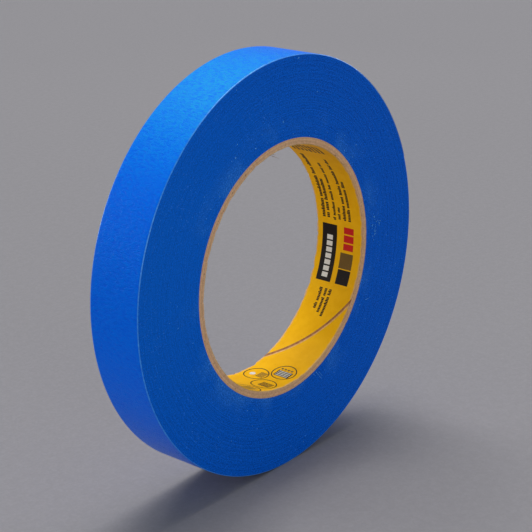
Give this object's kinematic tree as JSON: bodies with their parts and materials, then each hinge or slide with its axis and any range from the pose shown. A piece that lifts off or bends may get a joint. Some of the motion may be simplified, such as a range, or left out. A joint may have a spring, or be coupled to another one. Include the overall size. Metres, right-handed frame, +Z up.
{
  "type": "masking tape roll",
  "caption": "Upright roll of blue crepe masking tape wound on a spiral paperboard core with a yellow printed liner and an open round bore; the tape's free end peels away.",
  "frame": {"origin": "on the floor under the middle of the roll, at the centre of the facet that it stands on", "axes": "+Z up, +Y along the roll's axis towards its back side, -Y towards the front side, +X towards the side where the tape's free end is"},
  "size_m": [0.1297, 0.0184, 0.1298],
  "materials": {
    "liner_paper": "satin",
    "kraft_board": "matte",
    "blue_crepe": "matte"
  },
  "bodies": {
    "roll": {"core_liner": "liner_paper", "core_ply_1": "kraft_board", "core_ply_2": "kraft_board", "core_ply_3": "kraft_board", "core_ply_4": "kraft_board", "tape_winding": "blue_crepe"},
    "tail_1": {"tail_segment_1": "blue_crepe"},
    "tail_2": {"tail_segment_2": "blue_crepe"},
    "tail_3": {"tail_segment_3": "blue_crepe"},
    "tail_4": {"tail_segment_4": "blue_crepe"},
    "tail_5": {"tail_segment_5": "blue_crepe"}
  },
  "joints": [
    {"name": "tail_peel", "type": "hinge", "parent": "roll", "child": "tail_1", "pos_m": [0.03434, 0, 0.12009], "axis": [0, -1, 0], "range_deg": [0, 60]},
    {"name": "tail_flex_2", "type": "hinge", "parent": "tail_1", "child": "tail_2", "pos_m": [0.04126, 0, 0.11514], "axis": [0, -1, 0], "range_deg": [0, 7.5]},
    {"name": "tail_flex_3", "type": "hinge", "parent": "tail_2", "child": "tail_3", "pos_m": [0.04747, 0, 0.10932], "axis": [0, -1, 0], "range_deg": [0, 7.5]},
    {"name": "tail_flex_4", "type": "hinge", "parent": "tail_3", "child": "tail_4", "pos_m": [0.05287, 0, 0.10275], "axis": [0, -1, 0], "range_deg": [0, 7.5]},
    {"name": "tail_flex_5", "type": "hinge", "parent": "tail_4", "child": "tail_5", "pos_m": [0.05737, 0, 0.09552], "axis": [0, -1, 0], "range_deg": [0, 7.5]}
  ],
  "couplings": [
    {"joint": "tail_flex_2", "follows": "tail_peel", "ratio": 0.125},
    {"joint": "tail_flex_3", "follows": "tail_peel", "ratio": 0.125},
    {"joint": "tail_flex_4", "follows": "tail_peel", "ratio": 0.125},
    {"joint": "tail_flex_5", "follows": "tail_peel", "ratio": 0.125}
  ]
}
